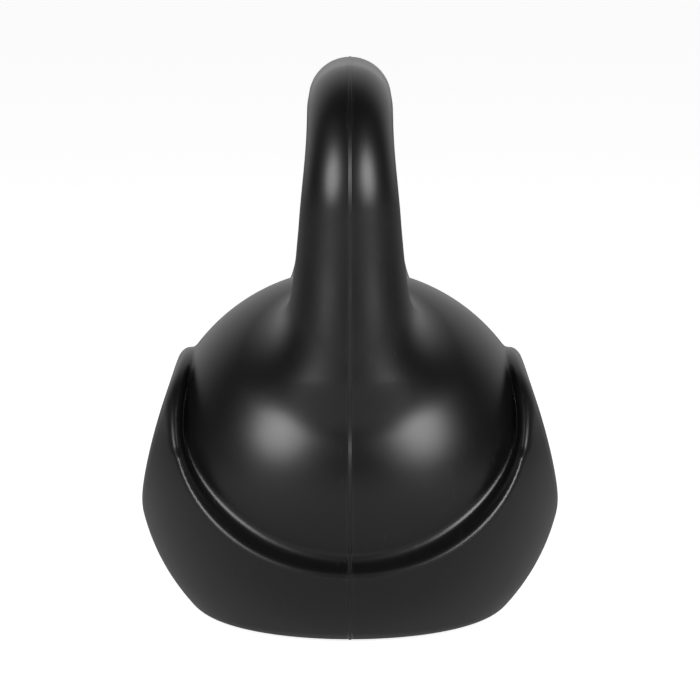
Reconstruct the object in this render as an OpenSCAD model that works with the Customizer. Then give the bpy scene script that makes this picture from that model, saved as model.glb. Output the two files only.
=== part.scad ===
// Plastic-shelled kettlebell, filled with ballast around a bent steel rod.
// X runs along the grip, Y through the body from front to rear, +Z up.
// The origin is the centre of the base, on the floor.

/* [Body] */
// Radius of the raised band, the widest part of the ball
band_r = 90; // [86:0.5:100]
// Height of the ball's centre above the floor
ball_h = 64; // [60:0.5:68]
// Radius of the dome that is set back inside the band
dome_r = 81; // [79:0.5:83]
// Half thickness of the body at the middle of its faces
face_mid_y = 82.6; // [81:0.1:84]
// Height of the middle of the faces
face_mid_z = 75.3; // [73:0.1:78]
// Lean of the front and rear faces from upright, in degrees
face_lean = 14.3; // [12:0.1:17]
// Radius of the faces' slight crown
face_crown_r = 285; // [220:5:400]
// Radius of the arch that bounds the raised front and rear faces above
arch_r = 61; // [59:1:63]
// Height of the centre of that arch
arch_h = 51; // [49:1:53]

/* [End recess] */
// Radius of the sides of the recess that the end domes sit in
recess_r = 71; // [69:0.5:73]
// Height of the centre of the recess's side arcs
recess_h = 84; // [82:1:87]
// Radius of the recess's shallow lower arc
recess_low_r = 99; // [94:1:110]
// Height of the lowest point of the recess
recess_low_z = 31.7; // [29:0.1:36]

/* [Handle] */
// Diameter of the round grip
grip_d = 35; // [30:0.5:42]
// Height of the top of the grip
handle_top = 232.5; // [215:1:280]
// Distance of each leg's axis from the middle, at the bend
leg_x = 58; // [54:1:64]
// Radius of the bend's centre line
bend_r = 32; // [26:1:36]
// Lean of the legs in towards the middle of the ball, in degrees
leg_lean = 6; // [3:0.5:8]
// Height at which the leg's axis ends inside the ball
root_z = 74; // [70:1:80]
// Radius of the leg at its root
root_r = 33; // [28:0.5:34]

/* [Shell] */
// Thickness of the moulded shell
wall = 3.5; // [2.5:0.5:5]
// Width of the weld along the joint of the two shell halves
weld_w = 1.7; // [1:0.1:3]
// How far the weld stands proud of the shell
weld_proud = 0.25; // [0.1:0.05:0.6]

/* [Base] */
// Radius of the shallow recess in the base
base_recess_r = 38; // [30:1:44]
// Depth of the recess in the base
base_recess_h = 3; // [2:0.5:4]
// Diameter of the filling hole
fill_hole_d = 36; // [28:1:44]
// Diameter of the plug's flange
plug_flange_d = 46; // [40:1:54]
// Thickness of the plug's flange
plug_flange_h = 1.6; // [1.2:0.1:2]
// Length of the plug's hollow skirt
plug_skirt_h = 12; // [8:1:16]
// Thickness of the plug's skirt
plug_wall = 2.2; // [1.5:0.1:3]
// Thickness of the gasket under the plug's flange
gasket_h = 0.8; // [0.5:0.1:1]

/* [Reinforcement] */
// Diameter of the bent steel rod
rod_d = 10; // [8:0.5:14]
// Height of the underside of the rod's feet
rod_foot_z = 58; // [45:1:75]
// Radius of the bend above each foot
rod_foot_bend = 14; // [12:1:18]
// Length of each foot past its bend
rod_foot_l = 14; // [8:1:18]

/* [Hidden] */
$fn = 96;
sides = [-1, 1];
grip_r = grip_d / 2;
axis_z = handle_top - grip_r;
bend_z = axis_z - bend_r;
grip_half = leg_x - bend_r;
leg_top_x = grip_half + bend_r * cos(leg_lean);
leg_top_z = bend_z - bend_r * sin(leg_lean);
leg_l = (leg_top_z - root_z) / cos(leg_lean);
root_x = leg_top_x - leg_l * sin(leg_lean);
// The leg starts this far up inside the bend, and is this much stouter at the bend's end
leg_lap = 6;
leg_swell = 0.4;
leg_slope = (root_r - grip_r - leg_swell) / leg_l;
big = 400;
// The arch bounds the faces from this height up
arch_foot_z = 70;
// The roof of the ballast's filling well stays this far above the plug's skirt
well_gap = 1;
skirt_r = fill_hole_d / 2;
base_in = base_recess_h + wall;
rod_r = rod_d / 2;
foot_axis_z = rod_foot_z + rod_r;
foot_bend_z = foot_axis_z + rod_foot_bend;
foot_bend_x = leg_x - rod_foot_bend;
eps = 0.01;

// The region between the two crowned and leaning faces, moved in by an inset
module between_faces(inset) {
    intersection_for(side = sides)
        mirror([0, side < 0 ? 1 : 0, 0])
            translate([
                -big / 2,
                face_mid_y - face_crown_r * cos(face_lean),
                face_mid_z - face_crown_r * sin(face_lean)
            ])
                rotate([0, 90, 0])
                    cylinder(h = big, r = face_crown_r - inset);
}

// The recess runs along X over both ends: the two arcs of its outline make a wide U
module end_recess(inset) {
    intersection() {
        translate([-big / 2, 0, recess_h])
            rotate([0, 90, 0])
                cylinder(h = big, r = recess_r + inset);
        translate([-big / 2, 0, recess_low_z + recess_low_r])
            rotate([0, 90, 0])
                cylinder(h = big, r = recess_low_r + inset);
    }
}

// What lies above the arched upper edge of the raised faces
module above_faces(inset) {
    difference() {
        translate([-big / 2, -big / 2, arch_foot_z])
            cube([big, big, big]);
        translate([0, big / 2 + 1, arch_h])
            rotate([90, 0, 0])
                cylinder(h = big + 2, r = arch_r - inset);
    }
}

// A ball that ends at the floor, moved in by an inset
module ball(radius, inset) {
    intersection() {
        translate([0, 0, ball_h])
            sphere(radius - inset);
        translate([-big / 2, -big / 2, inset])
            cube([big, big, big]);
    }
}

// The raised band: one strap over the front face, under the ball and up the rear face
module band(inset) {
    difference() {
        intersection() {
            ball(band_r, inset);
            between_faces(inset);
        }
        end_recess(inset);
        above_faces(inset);
    }
}

// The bend from the grip to the +X leg, for a bar of a given radius and sweep
module bend(bar_r, sweep) {
    translate([grip_half, 0, bend_z])
        rotate([90, 0, 0])
            rotate_extrude(angle = sweep, start = 90 - sweep)
                translate([bend_r, 0])
                    circle(bar_r);
}

// The +X leg: a cone that leans in towards the middle of the ball. It starts inside the bend
// and comes out of it just above the bend's end, where the handle begins to thicken.
module leg(inset) {
    translate([leg_top_x, 0, leg_top_z])
        rotate([0, 180 + leg_lean, 0])
            translate([0, 0, -leg_lap])
                cylinder(
                    h = leg_l + leg_lap,
                    r1 = grip_r + leg_swell - leg_lap * leg_slope - inset,
                    r2 = root_r - inset
                );
}

// The grip, its two bends and the legs
module handle(inset) {
    translate([-grip_half, 0, axis_z])
        rotate([0, 90, 0])
            cylinder(h = 2 * grip_half, r = grip_r - inset);
    for (side = sides)
        mirror([side < 0 ? 1 : 0, 0, 0]) {
            bend(grip_r - inset, 90 + leg_lean);
            leg(inset);
        }
}

// The whole outer form, moved in by an inset
module form(inset) {
    ball(dome_r, inset);
    band(inset);
    handle(inset);
}

module base_recess() {
    translate([0, 0, -eps])
        cylinder(h = base_recess_h + eps, r = base_recess_r);
}

module fill_hole() {
    translate([0, 0, -eps])
        cylinder(h = base_in + plug_skirt_h, r = skirt_r);
}

// The space for the fill, above the raised floor of the base recess
module cavity() {
    difference() {
        form(wall);
        cylinder(h = base_in, r = base_recess_r + wall);
    }
}

module shell() {
    difference() {
        form(0);
        cavity();
        base_recess();
        fill_hole();
    }
}

// One half of the shell, ending at the flank of the weld
module shell_half(side) {
    intersection() {
        shell();
        translate([-big / 2, side > 0 ? weld_w / 2 : -big - weld_w / 2, -big / 2])
            cube([big, big, big]);
    }
}

// The slice of melted plastic between the halves, a little proud of them
module weld_slice() {
    intersection() {
        difference() {
            form(-weld_proud);
            cavity();
            base_recess();
            fill_hole();
        }
        translate([-big / 2, -weld_w / 2, 0])
            cube([big, weld_w, big]);
    }
}

// The region inside the handle's centre line, which splits the weld into two loops
module window_region() {
    rotate([90, 0, 0])
        linear_extrude(big, center = true) {
            polygon([
                [-root_x, root_z], [root_x, root_z], [leg_top_x, leg_top_z], [grip_half, bend_z],
                [grip_half, axis_z], [-grip_half, axis_z], [-grip_half, bend_z],
                [-leg_top_x, leg_top_z]
            ]);
            for (side = sides)
                translate([side * grip_half, bend_z])
                    circle(bend_r);
        }
}

module front_shell_half() {
    color("#232323")
        shell_half(-1);
}

module rear_shell_half() {
    color("#262626")
        shell_half(1);
}

module outer_weld_seam() {
    color("#303030")
        difference() {
            weld_slice();
            window_region();
        }
}

module window_weld_seam() {
    color("#303030")
        intersection() {
            weld_slice();
            window_region();
        }
}

// The rod follows the grip and its bends, drops straight into the ball and ends in feet
// that are turned in towards the middle
module rod_form() {
    translate([-grip_half, 0, axis_z])
        rotate([0, 90, 0])
            cylinder(h = 2 * grip_half, r = rod_r);
    for (side = sides)
        mirror([side < 0 ? 1 : 0, 0, 0]) {
            bend(rod_r, 90);
            translate([leg_x, 0, foot_bend_z])
                cylinder(h = bend_z - foot_bend_z, r = rod_r);
            translate([foot_bend_x, 0, foot_bend_z])
                rotate([90, 0, 0])
                    rotate_extrude(angle = 90, start = 270)
                        translate([rod_foot_bend, 0])
                            circle(rod_r);
            translate([foot_bend_x - rod_foot_l, 0, foot_axis_z])
                rotate([0, 90, 0])
                    cylinder(h = rod_foot_l, r = rod_r);
        }
}

module handle_rod() {
    color("#8a8d90")
        rod_form();
}

module ballast_core() {
    color("#8f8a80")
        difference() {
            cavity();
            rod_form();
            fill_hole();
            translate([0, 0, base_in - eps])
                cylinder(h = plug_skirt_h + well_gap, r = skirt_r);
        }
}

// A push-in plug: a flange in the base recess and a hollow skirt up the filling hole
module filler_plug() {
    flange_top = base_recess_h - gasket_h;
    color("#1c1c1c") {
        translate([0, 0, flange_top - plug_flange_h])
            cylinder(h = plug_flange_h, r = plug_flange_d / 2);
        difference() {
            cylinder(h = base_in + plug_skirt_h - well_gap, r = skirt_r);
            translate([0, 0, -eps])
                cylinder(h = flange_top - plug_flange_h + eps, r = skirt_r + eps);
            translate([0, 0, flange_top])
                cylinder(h = big, r = skirt_r - plug_wall);
        }
    }
}

module plug_gasket() {
    color("#3a3a3a")
        translate([0, 0, base_recess_h - gasket_h])
            difference() {
                cylinder(h = gasket_h, r = plug_flange_d / 2);
                translate([0, 0, -eps])
                    cylinder(h = gasket_h + 2 * eps, r = skirt_r);
            }
}

front_shell_half();
rear_shell_half();
outer_weld_seam();
window_weld_seam();
ballast_core();
handle_rod();
filler_plug();
plug_gasket();
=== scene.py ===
import bmesh
import bpy
import math
import numpy as np
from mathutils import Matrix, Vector


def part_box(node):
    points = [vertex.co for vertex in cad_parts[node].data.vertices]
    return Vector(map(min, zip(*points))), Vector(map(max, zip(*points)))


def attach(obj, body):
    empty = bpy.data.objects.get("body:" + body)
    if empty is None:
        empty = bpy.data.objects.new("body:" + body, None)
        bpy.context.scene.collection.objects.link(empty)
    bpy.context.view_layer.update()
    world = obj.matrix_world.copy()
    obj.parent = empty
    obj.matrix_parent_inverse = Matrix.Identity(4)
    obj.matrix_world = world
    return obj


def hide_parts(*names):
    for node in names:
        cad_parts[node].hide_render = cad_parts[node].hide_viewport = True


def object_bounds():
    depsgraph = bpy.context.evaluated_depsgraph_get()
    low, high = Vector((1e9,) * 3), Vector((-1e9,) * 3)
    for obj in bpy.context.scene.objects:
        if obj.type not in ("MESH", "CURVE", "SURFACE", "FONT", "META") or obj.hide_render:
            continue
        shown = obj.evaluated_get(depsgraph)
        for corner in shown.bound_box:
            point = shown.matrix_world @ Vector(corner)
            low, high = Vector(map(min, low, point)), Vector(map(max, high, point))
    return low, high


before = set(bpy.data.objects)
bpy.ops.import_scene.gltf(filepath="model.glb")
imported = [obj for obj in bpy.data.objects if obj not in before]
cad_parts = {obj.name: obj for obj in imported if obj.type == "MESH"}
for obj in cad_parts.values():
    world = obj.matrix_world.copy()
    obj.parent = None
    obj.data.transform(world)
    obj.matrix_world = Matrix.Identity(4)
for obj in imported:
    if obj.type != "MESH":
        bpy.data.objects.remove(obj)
cad_low, cad_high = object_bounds()

# ---------------------------------------------------------------- camera
# The camera looks along the handle's own plane from a little above, as if from one end.

camera_lift = math.radians(8.6)
camera_distance = 1.40
aim = Vector((0, 0, 0.1108))
camera_data = bpy.data.cameras.new("camera")
camera_data.lens = 170.8
camera_data.sensor_width = 36
camera_data.clip_end = 50
camera = bpy.data.objects.new("camera", camera_data)
toward_camera = Vector((math.cos(camera_lift), 0, math.sin(camera_lift)))
camera.location = aim + camera_distance * toward_camera
camera.rotation_euler = toward_camera.to_track_quat("Z", "Y").to_euler()
bpy.context.scene.collection.objects.link(camera)
bpy.context.scene.camera = camera

# ---------------------------------------------------------------- floor
# A wide pale floor that stays even and holds no hard shadow. It looks nearly white to the
# camera, and is a mid grey for what it throws back up at the black plastic.

floor_half = 40.0
floor_z = -0.0003
floor_mesh = bpy.data.meshes.new("studio_floor")
floor_corners = [(-1, -1), (1, -1), (1, 1), (-1, 1)]
floor_points = [(x * floor_half, y * floor_half, floor_z) for x, y in floor_corners]
floor_mesh.from_pydata(floor_points, [], [(0, 1, 2, 3)])
floor = bpy.data.objects.new("studio_floor", floor_mesh)
bpy.context.scene.collection.objects.link(floor)
floor_material = bpy.data.materials.new("studio_floor")
floor_material.use_nodes = True
floor_nodes = floor_material.node_tree.nodes
floor_links = floor_material.node_tree.links
floor_shader = floor_nodes["Principled BSDF"]
floor_shader.inputs["Base Color"].default_value = (0.50, 0.50, 0.50, 1)
floor_shader.inputs["Roughness"].default_value = 0.9
floor_shader.inputs["Specular IOR Level"].default_value = 0.0
floor_shader.inputs["Emission Color"].default_value = (1, 1, 1, 1)
floor_seen = floor_nodes.new("ShaderNodeLightPath")
floor_glow = floor_nodes.new("ShaderNodeMapRange")
floor_glow.inputs["To Min"].default_value = 0.10
floor_glow.inputs["To Max"].default_value = 0.88
floor_links.new(floor_seen.outputs["Is Camera Ray"], floor_glow.inputs["Value"])
floor_links.new(floor_glow.outputs["Result"], floor_shader.inputs["Emission Strength"])
floor_mesh.materials.append(floor_material)

# ---------------------------------------------------------------- light
# Two round soft boxes stand well out to the left and right of the camera. The room is pale
# behind the object, faintly lit low down and dark elsewhere, which keeps the black plastic
# black and draws a pale rim round it. To the camera itself the backdrop is plain white.

world = bpy.data.worlds.new("studio")
world.use_nodes = True
world_nodes = world.node_tree.nodes
world_links = world.node_tree.links
background = world_nodes["Background"]
background.inputs["Strength"].default_value = 1.0
direction = world_nodes.new("ShaderNodeTexCoord")
split = world_nodes.new("ShaderNodeSeparateXYZ")
world_links.new(direction.outputs["Generated"], split.inputs["Vector"])
from_front = world_nodes.new("ShaderNodeMapRange")
from_front.interpolation_type = "SMOOTHSTEP"
from_front.inputs["From Min"].default_value = -0.75
from_front.inputs["From Max"].default_value = -0.20
from_front.inputs["To Min"].default_value = 0.7
from_front.inputs["To Max"].default_value = 0.012
world_links.new(split.outputs["X"], from_front.inputs["Value"])
low_glow = world_nodes.new("ShaderNodeMapRange")
low_glow.interpolation_type = "SMOOTHSTEP"
low_glow.inputs["From Min"].default_value = -1.0
low_glow.inputs["From Max"].default_value = 0.1
low_glow.inputs["To Min"].default_value = 0.16
low_glow.inputs["To Max"].default_value = 0.0
world_links.new(split.outputs["Z"], low_glow.inputs["Value"])
glow = world_nodes.new("ShaderNodeMath")
glow.operation = "MAXIMUM"
world_links.new(from_front.outputs["Result"], glow.inputs[0])
world_links.new(low_glow.outputs["Result"], glow.inputs[1])
world_seen = world_nodes.new("ShaderNodeLightPath")
backdrop = world_nodes.new("ShaderNodeMath")
backdrop.operation = "MAXIMUM"
world_links.new(glow.outputs["Value"], backdrop.inputs[0])
world_links.new(world_seen.outputs["Is Camera Ray"], backdrop.inputs[1])
world_links.new(backdrop.outputs["Value"], background.inputs["Color"])
bpy.context.scene.world = world

softbox_swing = math.radians(44)
softbox_rise = math.radians(23)
softbox_distance = 1.5
for name, side in (("softbox_left", -1), ("softbox_right", 1)):
    light_data = bpy.data.lights.new(name, "AREA")
    light_data.shape = "DISK"
    light_data.size = 0.80
    light_data.energy = 16
    light = bpy.data.objects.new(name, light_data)
    to_light = Vector((
        math.cos(softbox_rise) * math.cos(softbox_swing),
        math.cos(softbox_rise) * math.sin(softbox_swing) * side,
        math.sin(softbox_rise),
    ))
    light.location = aim + softbox_distance * to_light
    light.rotation_euler = to_light.to_track_quat("Z", "Y").to_euler()
    bpy.context.scene.collection.objects.link(light)
bpy.context.scene.view_settings.view_transform = "Standard"

# ---------------------------------------------------------------- shell form
# The shell's surface is the zero level of one smooth field: a dome, the raised band that
# runs over both faces and under the ball, and the handle, blended where they meet.
# The sizes are the outer form's own, in metres; only the top of the grip comes from the CAD.

ball_h = 0.064
band_r = 0.090
dome_r = 0.081
face_lean = math.radians(14.3)
face_mid_y = 0.0826
face_mid_z = 0.0753
face_crown_r = 0.285
recess_r = 0.071
recess_h = 0.084
recess_low_r = 0.099
recess_low_z = 0.0317
arch_r = 0.061
arch_h = 0.051
arch_edge_r = 0.005
face_edge_r = 0.002
recess_corner_r = 0.020
lip_r = 0.0028
recess_foot_r = 0.0016
recess_foot_low_r = 0.0034
leg_x = 0.058
bend_r = 0.032
leg_lean = math.radians(6)
leg_swell_high = 0.0035
leg_swell_low = 0.006
leg_end_shrink = 0.030
grip_r = 0.0175
root_blend = 0.017
root_flare = 0.001
wall = 0.0035
base_recess_r = 0.038
base_recess_h = 0.003
fill_hole_r = 0.018
base_edge_r = 0.0045
weld_half = 0.00085
weld_proud = 0.00025
axis_z = cad_high[2] - weld_proud - grip_r
bend_z = axis_z - bend_r
grip_half = leg_x - bend_r


def soft_min(a, b, radius):
    """The lower of two fields, with a fillet of about this radius where they cross."""
    blend = np.maximum(radius - np.abs(a - b), 0) / radius
    return np.minimum(a, b) - blend * blend * radius / 4


def soft_max(a, b, radius):
    return -soft_min(-a, -b, radius)


def ramp(value, low, high):
    """Rises smoothly from 0 at low to 1 at high."""
    t = np.clip((value - low) / (high - low), 0, 1)
    return t * t * (3 - 2 * t)


def handle_field(x, y, z):
    """The grip and its bends as a round bar, then legs that lean in and thicken downward."""
    beside = np.abs(x) - grip_half
    above = z - bend_z
    along_leg = -beside * math.sin(leg_lean) - above * math.cos(leg_lean)
    off_leg = np.abs(beside * math.cos(leg_lean) - above * math.sin(leg_lean) - bend_r)
    off_bend = np.abs(np.hypot(np.maximum(beside, 0), above) - bend_r)
    off_axis = np.where(along_leg > 0, off_leg, off_bend)
    radius = grip_r + leg_swell_high * ramp(-z, -0.212, -0.160)
    radius = radius + leg_swell_low * ramp(-z, -0.172, -0.110)
    radius = radius - leg_end_shrink * ramp(-z, -0.110, -0.054)
    return np.hypot(off_axis, y) - radius


def ball_field(x, y, z):
    """The dome, joined to the band: a larger ball cut by the faces, recess and arch."""
    ay = np.abs(y)
    from_middle = np.sqrt(x * x + y * y + (z - ball_h) ** 2)
    dome = from_middle - dome_r
    crown_y = face_mid_y - face_crown_r * math.cos(face_lean)
    crown_z = face_mid_z - face_crown_r * math.sin(face_lean)
    face = np.hypot(ay - crown_y, z - crown_z) - face_crown_r
    band = soft_max(from_middle - band_r, face, face_edge_r)
    side = np.hypot(y, z - recess_h) - recess_r
    low = np.hypot(y, z - recess_low_z - recess_low_r) - recess_low_r
    depth = np.clip(band_r - from_middle, -0.002, 0.010)
    draft = 0.18 + 0.43 * ramp(-z, -0.080, -0.045)
    recess = soft_max(side, low, recess_corner_r) + depth * draft
    band = soft_max(band, -recess, lip_r)
    arch = np.hypot(x, z - arch_h) - arch_r - 0.03 * ramp(-z, -0.079, -0.059)
    band = soft_max(band, arch, arch_edge_r)
    low_share = ramp(-z, -0.104, -0.076)
    foot = recess_foot_r + (recess_foot_low_r - recess_foot_r) * low_share
    return soft_min(dome, band, foot)


def body_field(x, y, z):
    """The ball and the handle, with a root that spreads further to the front and rear."""
    blend = root_blend + root_flare * ramp(np.abs(y), 0.008, 0.026)
    return soft_min(ball_field(x, y, z), handle_field(x, y, z), blend)


def outer_field(x, y, z):
    """The outer form with its soft base edge and the recess in the base."""
    body = soft_max(body_field(x, y, z), -z, base_edge_r)
    recess = soft_max(np.hypot(x, y) - base_recess_r, z - base_recess_h, 0.001)
    return soft_max(body, -recess, 0.002)


def shell_field(x, y, z):
    """The moulded wall: the outer form without its cavity and filling hole."""
    inner = soft_max(body_field(x, y, z) + wall, wall - z, base_edge_r)
    floor_pad = np.maximum(np.hypot(x, y) - base_recess_r - wall, z - base_recess_h - wall)
    cavity = np.maximum(inner, -floor_pad)
    hole = np.maximum(np.hypot(x, y) - fill_hole_r, z - 0.02)
    skin = soft_max(outer_field(x, y, z), -cavity, 0.001)
    return soft_max(skin, -hole, 0.001)


def slope(field, points, reach=1e-5):
    """The field's gradient at each point."""
    parts = []
    for axis in range(3):
        ahead = points.copy()
        behind = points.copy()
        ahead[:, axis] += reach
        behind[:, axis] -= reach
        parts.append((field(*ahead.T) - field(*behind.T)) / (2 * reach))
    return np.stack(parts, axis=1)


def settle(field, points, cell, rounds=4):
    """Moves points onto the field's zero level, each by less than a cell."""
    start = points.copy()
    for _ in range(rounds):
        lean = slope(field, points)
        size = np.maximum((lean * lean).sum(axis=1), 0.05)
        points = points - lean * (field(*points.T) / size)[:, None]
        points = start + np.clip(points - start, -0.6 * cell, 0.6 * cell)
    return points


def even_out(field, points, quads):
    """Slides each point along the surface, half way to the middle of its neighbours."""
    total = np.zeros_like(points)
    ends = np.concatenate([quads[:, [i, (i + 1) % 4]] for i in range(4)])
    ends = np.concatenate([ends, ends[:, ::-1]])
    for axis in range(3):
        total[:, axis] = np.bincount(ends[:, 0], points[ends[:, 1], axis], len(points))
    count = np.maximum(np.bincount(ends[:, 0], minlength=len(points)), 1)
    move = total / count[:, None] - points
    lean = slope(field, points)
    lean /= np.maximum(np.linalg.norm(lean, axis=1), 1e-9)[:, None]
    move -= lean * (move * lean).sum(axis=1)[:, None]
    return points + 0.5 * move


def net(field, low, high, cell):
    """Points and quads of the field's zero level: one point in each cell that it crosses."""
    lines = [np.arange(a, b + cell, cell) for a, b in zip(low, high)]
    value = field(*np.meshgrid(*lines, indexing="ij"))
    inside = value < 0
    shape = tuple(n - 1 for n in value.shape)
    total = np.zeros(shape + (3,), dtype=np.float32)
    count = np.zeros(shape, dtype=np.float32)
    for axis in range(3):
        others = [a for a in range(3) if a != axis]
        for one in (0, 1):
            for two in (0, 1):
                cut = [slice(None)] * 3
                cut[others[0]] = slice(one, one + shape[others[0]])
                cut[others[1]] = slice(two, two + shape[others[1]])
                near = list(cut)
                far = list(cut)
                near[axis] = slice(0, shape[axis])
                far[axis] = slice(1, shape[axis] + 1)
                a = value[tuple(near)]
                b = value[tuple(far)]
                crossed = (a < 0) != (b < 0)
                share = np.where(crossed, a / np.where(crossed, a - b, 1), 0)
                total[..., axis] += share
                total[..., others[0]] += one * crossed
                total[..., others[1]] += two * crossed
                count += crossed
    active = count > 0
    number = np.full(shape, -1, dtype=np.int64)
    number[active] = np.arange(active.sum())
    offsets = total[active] / count[active][:, None]
    corner = np.argwhere(active)
    points = np.array(low) + (corner + offsets) * cell
    quads = []
    for axis in range(3):
        b, c = [a for a in range(3) if a != axis]
        first = np.take(inside, range(0, inside.shape[axis] - 1), axis=axis)
        second = np.take(inside, range(1, inside.shape[axis]), axis=axis)
        edge = np.argwhere(first != second)
        edge = edge[(edge[:, b] > 0) & (edge[:, c] > 0)]
        edge = edge[(edge[:, b] < shape[b]) & (edge[:, c] < shape[c])]
        ring = []
        for back_b, back_c in ((1, 1), (0, 1), (0, 0), (1, 0)):
            at = edge.copy()
            at[:, b] -= back_b
            at[:, c] -= back_c
            ring.append(number[tuple(at.T)])
        ring = np.stack(ring, axis=1)
        outward = first[tuple(edge.T)]
        if axis == 1:
            outward = ~outward
        ring[~outward] = ring[~outward][:, ::-1]
        quads.append(ring)
    quads = np.concatenate(quads)
    points = settle(field, points, cell, 2)
    for _ in range(5):
        points = settle(field, even_out(field, points, quads), cell, 1)
    return settle(field, points, cell, 2), quads


# ---------------------------------------------------------------- shell halves
# Two moulded halves in satin black plastic, welded together along the handle's plane.
# The rear half is the front half mirrored.

cell = 0.00135
margin = 0.006
net_low = (cad_low[0] - margin, cad_low[1] - margin, cad_low[2] - margin)
net_high = (cad_high[0] + margin, margin, cad_high[2] + margin)
shell_points, shell_quads = net(shell_field, net_low, net_high, cell)


def half_mesh(name, flip):
    """The net, cut at the weld's flank and capped there; flip makes the rear half."""
    cutter = bmesh.new()
    flags = cutter.faces.layers.int.new("cap")
    verts = [cutter.verts.new(p) for p in shell_points]
    for quad in shell_quads:
        cutter.faces.new([verts[i] for i in quad])
    geometry = cutter.verts[:] + cutter.edges[:] + cutter.faces[:]
    cut = bmesh.ops.bisect_plane(
        cutter, geom=geometry, dist=1e-6,
        plane_co=(0, -weld_half, 0), plane_no=(0, 1, 0), clear_outer=True,
    )
    rim = [g for g in cut["geom_cut"] if isinstance(g, bmesh.types.BMEdge)]
    caps = bmesh.ops.triangle_fill(cutter, edges=rim, use_beauty=False, normal=(0, 1, 0))
    cap_faces = {g for g in caps["geom"] if isinstance(g, bmesh.types.BMFace)}
    for face in cap_faces:
        face[flags] = 1
    if flip:
        for vert in cutter.verts:
            vert.co.y = -vert.co.y
        bmesh.ops.reverse_faces(cutter, faces=cutter.faces[:])
    mesh = bpy.data.meshes.new(name)
    cutter.to_mesh(mesh)
    cutter.free()
    return mesh


def true_normals(mesh, field):
    """Smooth shading by the field's own slope, and flat shading on the weld's flank."""
    count = len(mesh.vertices)
    points = np.empty(count * 3)
    mesh.vertices.foreach_get("co", points)
    lean = slope(field, points.reshape(-1, 3))
    lean /= np.maximum(np.linalg.norm(lean, axis=1), 1e-9)[:, None]
    corner_vert = np.empty(len(mesh.loops), dtype=np.int32)
    mesh.loops.foreach_get("vertex_index", corner_vert)
    normals = lean[corner_vert]
    caps = np.empty(len(mesh.polygons), dtype=np.int32)
    mesh.attributes["cap"].data.foreach_get("value", caps)
    sides = np.empty(len(mesh.polygons), dtype=np.int32)
    mesh.polygons.foreach_get("loop_total", sides)
    on_cap = np.repeat(caps, sides) == 1
    flat = np.empty(len(mesh.polygons) * 3)
    mesh.polygons.foreach_get("normal", flat)
    normals[on_cap] = np.repeat(flat.reshape(-1, 3), sides, axis=0)[on_cap]
    mesh.polygons.foreach_set("use_smooth", np.ones(len(mesh.polygons), dtype=bool))
    mesh.normals_split_custom_set(normals.tolist())


# A shader node group that any moulded plastic here shares: it gives a colour, a roughness
# and a normal with fine spark-eroded grain, faint haze and a few hairline scuffs.
# Convex edges also get a lighter colour, which is a painted highlight, and a slightly
# lower roughness for rubbed wear.

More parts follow.
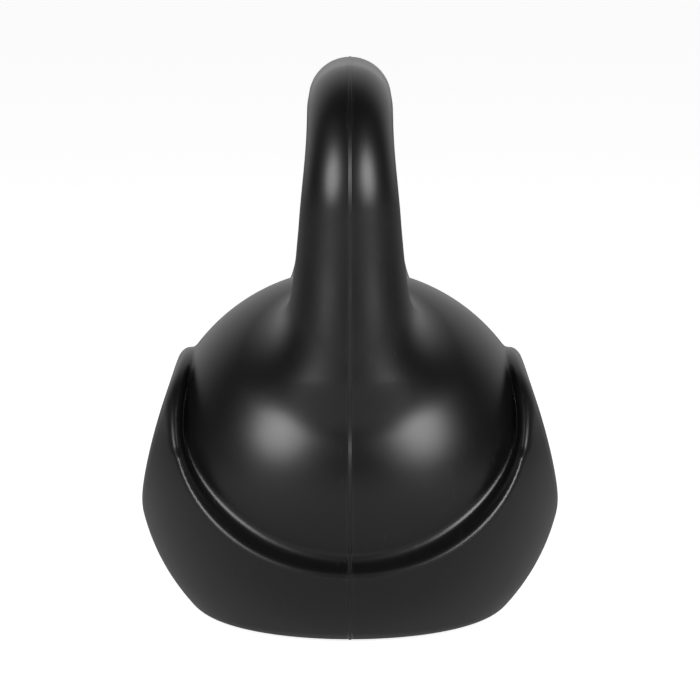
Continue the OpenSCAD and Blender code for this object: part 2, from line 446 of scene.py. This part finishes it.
def moulded_plastic_group():
    group = bpy.data.node_groups.new("moulded_plastic", "ShaderNodeTree")
    face = group.interface
    face.new_socket("Color", in_out="INPUT", socket_type="NodeSocketColor")
    face.new_socket("Roughness", in_out="INPUT", socket_type="NodeSocketFloat")
    face.new_socket("Grain Scale", in_out="INPUT", socket_type="NodeSocketFloat")
    face.new_socket("Grain Depth", in_out="INPUT", socket_type="NodeSocketFloat")
    face.new_socket("Wear And Edge Highlight", in_out="INPUT", socket_type="NodeSocketFloat")
    face.new_socket("Color", in_out="OUTPUT", socket_type="NodeSocketColor")
    face.new_socket("Roughness", in_out="OUTPUT", socket_type="NodeSocketFloat")
    face.new_socket("Normal", in_out="OUTPUT", socket_type="NodeSocketVector")
    nodes = group.nodes
    links = group.links
    given = nodes.new("NodeGroupInput")
    result = nodes.new("NodeGroupOutput")
    place = nodes.new("ShaderNodeTexCoord")

    def noise(scale, detail):
        node = nodes.new("ShaderNodeTexNoise")
        node.inputs["Scale"].default_value = scale
        node.inputs["Detail"].default_value = detail
        links.new(place.outputs["Object"], node.inputs["Vector"])
        return node

    def map_range(source, low, high, to_low, to_high):
        node = nodes.new("ShaderNodeMapRange")
        node.inputs["From Min"].default_value = low
        node.inputs["From Max"].default_value = high
        node.inputs["To Min"].default_value = to_low
        node.inputs["To Max"].default_value = to_high
        links.new(source, node.inputs["Value"])
        return node.outputs["Result"]

    def math_node(kind, one, two):
        node = nodes.new("ShaderNodeMath")
        node.operation = kind
        for socket, value in zip(node.inputs, (one, two)):
            if isinstance(value, (int, float)):
                socket.default_value = value
            else:
                links.new(value, socket)
        return node.outputs["Value"]

    haze = noise(28, 4)
    flow = noise(7, 2)
    grain = noise(2600, 3)
    links.new(given.outputs["Grain Scale"], grain.inputs["Scale"])
    scuff_flow = nodes.new("ShaderNodeMapping")
    scuff_flow.inputs["Rotation"].default_value = (0.5, 0.9, 0.3)
    scuff_flow.inputs["Scale"].default_value = (1.0, 14.0, 3.0)
    links.new(place.outputs["Object"], scuff_flow.inputs["Vector"])
    scuffs = nodes.new("ShaderNodeTexNoise")
    scuffs.inputs["Scale"].default_value = 46
    scuffs.inputs["Detail"].default_value = 6
    links.new(scuff_flow.outputs["Vector"], scuffs.inputs["Vector"])
    scuff_mask = map_range(scuffs.outputs["Fac"], 0.66, 0.74, 0.0, 1.0)
    scuff_mask = math_node("MULTIPLY", scuff_mask, given.outputs["Wear And Edge Highlight"])
    # Convex edges, found by pointiness: their lighter colour is a painted highlight, and their
    # lower roughness is rubbed wear. Both are scaled by the same input as the scuffs.
    edges = nodes.new("ShaderNodeNewGeometry")
    rubbed_edge_and_highlight_mask = map_range(edges.outputs["Pointiness"], 0.53, 0.62, 0.0, 1.0)
    rubbed_edge_and_highlight_mask = math_node("MULTIPLY", rubbed_edge_and_highlight_mask, given.outputs["Wear And Edge Highlight"])

    haze_part = map_range(haze.outputs["Fac"], 0.3, 0.7, -0.022, 0.022)
    flow_part = map_range(flow.outputs["Fac"], 0.3, 0.7, -0.015, 0.015)
    rough = math_node("ADD", given.outputs["Roughness"], haze_part)
    rough = math_node("ADD", rough, flow_part)
    rough = math_node("ADD", rough, math_node("MULTIPLY", scuff_mask, 0.10))
    rough = math_node("ADD", rough, math_node("MULTIPLY", rubbed_edge_and_highlight_mask, -0.05))
    links.new(rough, result.inputs["Roughness"])

    # The colour is lifted by 0.012 on the scuffs, which is real wear, and on convex edges, which
    # is a painted highlight.
    tone = nodes.new("ShaderNodeMix")
    tone.data_type = "RGBA"
    tone.blend_type = "ADD"
    tone.inputs["B"].default_value = (0.012, 0.012, 0.012, 1)
    links.new(given.outputs["Color"], tone.inputs["A"])
    links.new(math_node("ADD", scuff_mask, rubbed_edge_and_highlight_mask), tone.inputs["Factor"])
    links.new(tone.outputs["Result"], result.inputs["Color"])

    grain_bump = nodes.new("ShaderNodeBump")
    grain_bump.inputs["Distance"].default_value = 0.00003
    links.new(given.outputs["Grain Depth"], grain_bump.inputs["Strength"])
    links.new(grain.outputs["Fac"], grain_bump.inputs["Height"])
    scuff_bump = nodes.new("ShaderNodeBump")
    scuff_bump.inputs["Distance"].default_value = 0.00001
    scuff_bump.inputs["Strength"].default_value = 0.5
    scuff_bump.invert = True
    links.new(scuff_mask, scuff_bump.inputs["Height"])
    links.new(grain_bump.outputs["Normal"], scuff_bump.inputs["Normal"])
    links.new(scuff_bump.outputs["Normal"], result.inputs["Normal"])
    return group


moulded_plastic = moulded_plastic_group()


def plastic(name, color, roughness, grain_scale, grain_depth, wear_and_edge_highlight):
    material = bpy.data.materials.new(name)
    material.use_nodes = True
    nodes = material.node_tree.nodes
    links = material.node_tree.links
    shader = nodes["Principled BSDF"]
    shader.inputs["IOR"].default_value = 1.50
    surface = nodes.new("ShaderNodeGroup")
    surface.node_tree = moulded_plastic
    surface.inputs["Color"].default_value = (*color, 1)
    surface.inputs["Roughness"].default_value = roughness
    surface.inputs["Grain Scale"].default_value = grain_scale
    surface.inputs["Grain Depth"].default_value = grain_depth
    surface.inputs["Wear And Edge Highlight"].default_value = wear_and_edge_highlight
    links.new(surface.outputs["Color"], shader.inputs["Base Color"])
    links.new(surface.outputs["Roughness"], shader.inputs["Roughness"])
    links.new(surface.outputs["Normal"], shader.inputs["Normal"])
    return material


shell_material = plastic("satin_black_plastic", (0.003, 0.003, 0.0032), 0.34, 2600, 0.35, 0.6)

for name, flip in (("shell_front", False), ("shell_rear", True)):
    mesh = half_mesh(name, flip)
    true_normals(mesh, shell_field)
    mesh.materials.append(shell_material)
    half = bpy.data.objects.new(name, mesh)
    bpy.context.scene.collection.objects.link(half)
    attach(half, "root")
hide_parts("front_shell_half")
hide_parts("rear_shell_half")

# ---------------------------------------------------------------- weld seams
# The melted plastic that joins the halves: one bead round the outside of the kettlebell,
# open where the filling hole is, and one closed bead round the inside of the handle's
# window. Each stands a hair proud, with a fine groove along both sides.

def crossing(centre_z, turn, near, far):
    """Where a ray at this turn in the weld's plane, between near and far, meets the surface."""
    for _ in range(40):
        middle = (near + far) / 2
        if outer_field(middle * np.cos(turn), 0.0, centre_z + middle * np.sin(turn)) < 0:
            near = middle
        else:
            far = middle
    return middle * math.cos(turn), centre_z + middle * math.sin(turn)


def bead_mesh(name, path, closed):
    """Sweeps the bead's convex section along a path in the weld's plane."""
    half = weld_half - 0.00003
    top = []
    for step in range(-5, 6):
        share = step / 5
        top.append((half * share, weld_proud - 0.00038 * share * share))
    section = [(-half, -wall)] + top + [(half, -wall)]
    points = np.array([(x, 0.0, z) for x, z in path])
    out = slope(outer_field, points)
    out[:, 1] = 0
    out /= np.linalg.norm(out, axis=1)[:, None]
    mesh_maker = bmesh.new()
    rings = []
    for point, normal in zip(points, out):
        # the bead is nearly flush where it climbs the wall of the recess, low on the ball
        low_down = float(ramp(-point[2], -0.060, -0.050))
        flush = 0.85 * low_down * float(ramp(normal[2], -0.35, 0.05))
        ring = []
        for across, height in section:
            rise = height if height < -0.001 else height * (1 - flush)
            ring.append(mesh_maker.verts.new((
                point[0] + normal[0] * rise,
                across,
                max(point[2] + normal[2] * rise, 0.0),
            )))
        rings.append(ring)
    pairs = list(zip(rings, rings[1:]))
    if closed:
        pairs.append((rings[-1], rings[0]))
    count = len(section)
    for one, two in pairs:
        for i in range(count):
            j = (i + 1) % count
            mesh_maker.faces.new((one[i], one[j], two[j], two[i]))
    if not closed:
        mesh_maker.faces.new(rings[0])
        mesh_maker.faces.new(rings[-1][::-1])
    bmesh.ops.recalc_face_normals(mesh_maker, faces=mesh_maker.faces[:])
    mesh = bpy.data.meshes.new(name)
    mesh_maker.to_mesh(mesh)
    mesh_maker.free()
    mesh.polygons.foreach_set("use_smooth", [True] * len(mesh.polygons))
    mesh.set_sharp_from_angle(angle=math.radians(50))
    return mesh


weld_material = plastic("weld_plastic", (0.004, 0.004, 0.0042), 0.34, 1400, 0.25, 0.3)
rays = 720
outer_centre_z = 0.110
outer_path = []
for step in range(4 * rays):
    turn = -math.pi / 2 + 2 * math.pi * (step + 0.5) / (4 * rays)
    x, z = crossing(outer_centre_z, turn, 0.06, 0.20)
    if abs(x) > fill_hole_r + 0.0003 or z > 0.05:
        outer_path.append((x, z))
window_centre_z = 0.5 * (dome_r + ball_h + axis_z - grip_r)
window_path = []
for step in range(rays):
    turn = 2 * math.pi * step / rays
    window_path.append(crossing(window_centre_z, turn, 0.060, 0.005))

for name, node, path, closed in (
    ("weld_outer", "outer_weld_seam", outer_path, False),
    ("weld_window", "window_weld_seam", window_path, True),
):
    mesh = bead_mesh(name, path, closed)
    mesh.materials.append(weld_material)
    seam = bpy.data.objects.new(name, mesh)
    bpy.context.scene.collection.objects.link(seam)
    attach(seam, "root")
    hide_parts(node)

# ---------------------------------------------------------------- filler plug and gasket
# A push-in cap that closes the filling hole from below, with a dished face, a moulded ring
# to press on and a soft rubber washer under its flange.

def lathe(name, profile, around):
    """Turns a closed (radius, height) outline round the Z axis."""
    mesh_maker = bmesh.new()
    rings = []
    for radius, height in profile:
        if radius == 0:
            rings.append([mesh_maker.verts.new((0, 0, height))])
            continue
        rings.append([
            mesh_maker.verts.new((
                radius * math.cos(2 * math.pi * i / around),
                radius * math.sin(2 * math.pi * i / around),
                height,
            ))
            for i in range(around)
        ])
    closed = profile[0][0] > 0
    pairs = list(zip(rings, rings[1:]))
    if closed:
        pairs.append((rings[-1], rings[0]))
    for one, two in pairs:
        for i in range(around):
            j = (i + 1) % around
            corners = [one[i % len(one)], one[j % len(one)], two[j % len(two)], two[i % len(two)]]
            face = []
            for corner in corners:
                if corner not in face:
                    face.append(corner)
            mesh_maker.faces.new(face)
    bmesh.ops.recalc_face_normals(mesh_maker, faces=mesh_maker.faces[:])
    mesh = bpy.data.meshes.new(name)
    mesh_maker.to_mesh(mesh)
    mesh_maker.free()
    mesh.polygons.foreach_set("use_smooth", [True] * len(mesh.polygons))
    mesh.set_sharp_from_angle(angle=math.radians(40))
    return mesh


plug_low, plug_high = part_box("filler_plug")
gasket_low, gasket_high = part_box("plug_gasket")
flange_r = plug_high[0]
flange_low = plug_low[2]
flange_high = gasket_low[2]
skirt_r = fill_hole_r - 0.0001
skirt_wall = 0.0022
skirt_high = plug_high[2]
edge = 0.0005
plug_profile = [
    (0, flange_low + 0.0004),
    (0.0080, flange_low + 0.0003),
    (0.0092, flange_low + 0.00005),
    (0.0104, flange_low),
    (0.0116, flange_low + 0.00005),
    (0.0128, flange_low + 0.0003),
    (0.0190, flange_low + 0.00025),
    (0.0200, flange_low),
    (flange_r - edge, flange_low),
    (flange_r - 0.3 * edge, flange_low + 0.3 * edge),
    (flange_r, flange_low + edge),
    (flange_r, flange_high),
    (skirt_r, flange_high),
    (skirt_r, skirt_high - 2 * edge),
    (skirt_r - edge, skirt_high),
    (skirt_r - skirt_wall + edge / 2, skirt_high),
    (skirt_r - skirt_wall, skirt_high - edge / 2),
    (skirt_r - skirt_wall, flange_high + edge),
    (skirt_r - skirt_wall - edge, flange_high),
    (0, flange_high),
]
plug_material = plastic("plug_plastic", (0.020, 0.020, 0.021), 0.42, 1800, 0.5, 0.4)
plug_mesh = lathe("plug", plug_profile, 128)
plug_mesh.materials.append(plug_material)
plug = bpy.data.objects.new("plug", plug_mesh)
bpy.context.scene.collection.objects.link(plug)
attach(plug, "root")
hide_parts("filler_plug")

gasket_mid = (gasket_low[2] + gasket_high[2]) / 2
gasket_half = (gasket_high[2] - gasket_low[2]) / 2
gasket_profile = [
    (skirt_r + 0.0001, gasket_low[2]),
    (flange_r - edge, gasket_low[2]),
    (flange_r - 0.0001, gasket_mid - 0.4 * gasket_half),
    (flange_r - 0.0001, gasket_mid + 0.4 * gasket_half),
    (flange_r - edge, gasket_high[2]),
    (skirt_r + 0.0001, gasket_high[2]),
]
gasket_material = plastic("gasket_rubber", (0.028, 0.028, 0.027), 0.72, 900, 0.8, 0.1)
gasket_mesh = lathe("gasket", gasket_profile, 128)
gasket_mesh.materials.append(gasket_material)
gasket = bpy.data.objects.new("gasket", gasket_mesh)
bpy.context.scene.collection.objects.link(gasket)
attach(gasket, "root")
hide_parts("plug_gasket")

# ---------------------------------------------------------------- ballast core
# The fill: dry sand and cement, set hard inside the shell and round the rod.

ballast_material = bpy.data.materials.new("ballast")
ballast_material.use_nodes = True
ballast_nodes = ballast_material.node_tree.nodes
ballast_links = ballast_material.node_tree.links
ballast_shader = ballast_nodes["Principled BSDF"]
ballast_place = ballast_nodes.new("ShaderNodeTexCoord")
ballast_grit = ballast_nodes.new("ShaderNodeTexVoronoi")
ballast_grit.inputs["Scale"].default_value = 700
ballast_cloud = ballast_nodes.new("ShaderNodeTexNoise")
ballast_cloud.inputs["Scale"].default_value = 35
ballast_cloud.inputs["Detail"].default_value = 6
for texture in (ballast_grit, ballast_cloud):
    ballast_links.new(ballast_place.outputs["Object"], texture.inputs["Vector"])
ballast_tint = ballast_nodes.new("ShaderNodeMix")
ballast_tint.data_type = "RGBA"
ballast_tint.inputs["A"].default_value = (0.24, 0.22, 0.19, 1)
ballast_tint.inputs["B"].default_value = (0.40, 0.37, 0.32, 1)
ballast_links.new(ballast_cloud.outputs["Fac"], ballast_tint.inputs["Factor"])
ballast_links.new(ballast_tint.outputs["Result"], ballast_shader.inputs["Base Color"])
ballast_bump = ballast_nodes.new("ShaderNodeBump")
ballast_bump.inputs["Distance"].default_value = 0.0003
ballast_bump.inputs["Strength"].default_value = 0.8
ballast_links.new(ballast_grit.outputs["Distance"], ballast_bump.inputs["Height"])
ballast_links.new(ballast_bump.outputs["Normal"], ballast_shader.inputs["Normal"])
ballast_shader.inputs["Roughness"].default_value = 0.92
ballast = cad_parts["ballast_core"]
ballast.data.materials.clear()
ballast.data.materials.append(ballast_material)

# ---------------------------------------------------------------- handle rod
# A bent round bar of plain steel that carries the load from the grip down into the fill.

rod_material = bpy.data.materials.new("rod_steel")
rod_material.use_nodes = True
rod_nodes = rod_material.node_tree.nodes
rod_links = rod_material.node_tree.links
rod_shader = rod_nodes["Principled BSDF"]
rod_shader.inputs["Metallic"].default_value = 1.0
rod_place = rod_nodes.new("ShaderNodeTexCoord")
rod_scale = rod_nodes.new("ShaderNodeTexNoise")
rod_scale.inputs["Scale"].default_value = 160
rod_scale.inputs["Detail"].default_value = 8
rod_links.new(rod_place.outputs["Object"], rod_scale.inputs["Vector"])
rod_tint = rod_nodes.new("ShaderNodeMix")
rod_tint.data_type = "RGBA"
rod_tint.inputs["A"].default_value = (0.32, 0.31, 0.31, 1)
rod_tint.inputs["B"].default_value = (0.54, 0.54, 0.55, 1)
rod_links.new(rod_scale.outputs["Fac"], rod_tint.inputs["Factor"])
rod_links.new(rod_tint.outputs["Result"], rod_shader.inputs["Base Color"])
rod_rough = rod_nodes.new("ShaderNodeMapRange")
rod_rough.inputs["To Min"].default_value = 0.55
rod_rough.inputs["To Max"].default_value = 0.30
rod_links.new(rod_scale.outputs["Fac"], rod_rough.inputs["Value"])
rod_links.new(rod_rough.outputs["Result"], rod_shader.inputs["Roughness"])
rod_bump = rod_nodes.new("ShaderNodeBump")
rod_bump.inputs["Distance"].default_value = 0.00005
rod_bump.inputs["Strength"].default_value = 0.4
rod_links.new(rod_scale.outputs["Fac"], rod_bump.inputs["Height"])
rod_links.new(rod_bump.outputs["Normal"], rod_shader.inputs["Normal"])
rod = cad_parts["handle_rod"]
rod.data.materials.clear()
rod.data.materials.append(rod_material)
